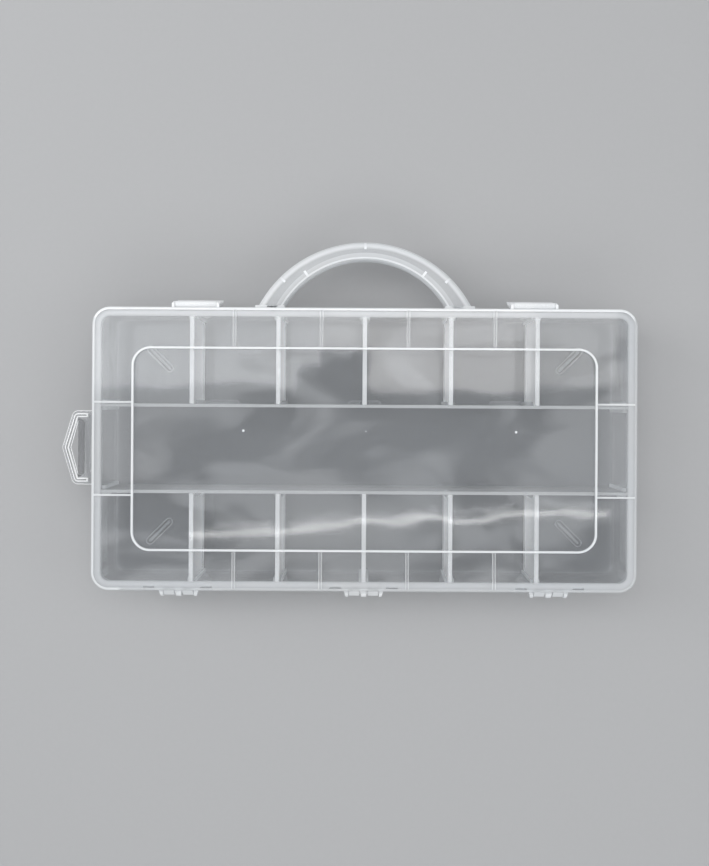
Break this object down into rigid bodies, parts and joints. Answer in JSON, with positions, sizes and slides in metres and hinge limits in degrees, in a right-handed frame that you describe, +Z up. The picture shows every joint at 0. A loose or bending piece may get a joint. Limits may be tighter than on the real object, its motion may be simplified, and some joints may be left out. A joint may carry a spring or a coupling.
{
  "type": "compartment storage box",
  "caption": "Low clear plastic organizer box with a hinged snap lid, front carrying handle, side hang tab and removable dividers.",
  "frame": {"origin": "middle of the bounding box of the whole object, in the plane that its feet stand on", "axes": "+Z up, -Y towards the latches and the carrying handle, +Y towards the hinges, +X towards the hang tab"},
  "size_m": [0.378, 0.2356, 0.05],
  "materials": {
    "tray_plastic": "clear, slightly milky polypropylene, glossy",
    "lid_plastic": "clear, slightly milky polypropylene, glossy",
    "latch_plastic": "clear, slightly milky polypropylene, glossy",
    "handle_plastic": "clear, slightly milky polypropylene, glossy",
    "tab_plastic": "clear, slightly milky polypropylene, glossy",
    "insert_plastic": "clear, slightly milky polypropylene, glossy"
  },
  "bodies": {
    "tray": {"tray": "tray_plastic", "handle": "handle_plastic", "hang_tab": "tab_plastic", "partition_front": "insert_plastic", "partition_rear": "insert_plastic", "divider_front_1": "insert_plastic", "divider_front_2": "insert_plastic", "divider_front_3": "insert_plastic", "divider_front_4": "insert_plastic", "divider_front_5": "insert_plastic", "divider_rear_1": "insert_plastic", "divider_rear_2": "insert_plastic", "divider_rear_3": "insert_plastic", "divider_rear_4": "insert_plastic", "divider_rear_5": "insert_plastic"},
    "lid": {"lid": "lid_plastic"},
    "latch_left": {"latch_left": "latch_plastic"},
    "latch_right": {"latch_right": "latch_plastic"}
  },
  "joints": [
    {"name": "lid_hinge", "type": "hinge", "parent": "tray", "child": "lid", "pos_m": [-0.011, 0.1144, 0.0405], "axis": [-1, 0, 0], "range_deg": [0, 180]},
    {"name": "latch_left_pivot", "type": "hinge", "parent": "lid", "child": "latch_left", "pos_m": [-0.122, -0.0745, 0.044], "axis": [-1, 0, 0], "range_deg": [0, 110]},
    {"name": "latch_right_pivot", "type": "hinge", "parent": "lid", "child": "latch_right", "pos_m": [0.1, -0.0745, 0.044], "axis": [-1, 0, 0], "range_deg": [0, 110]}
  ]
}
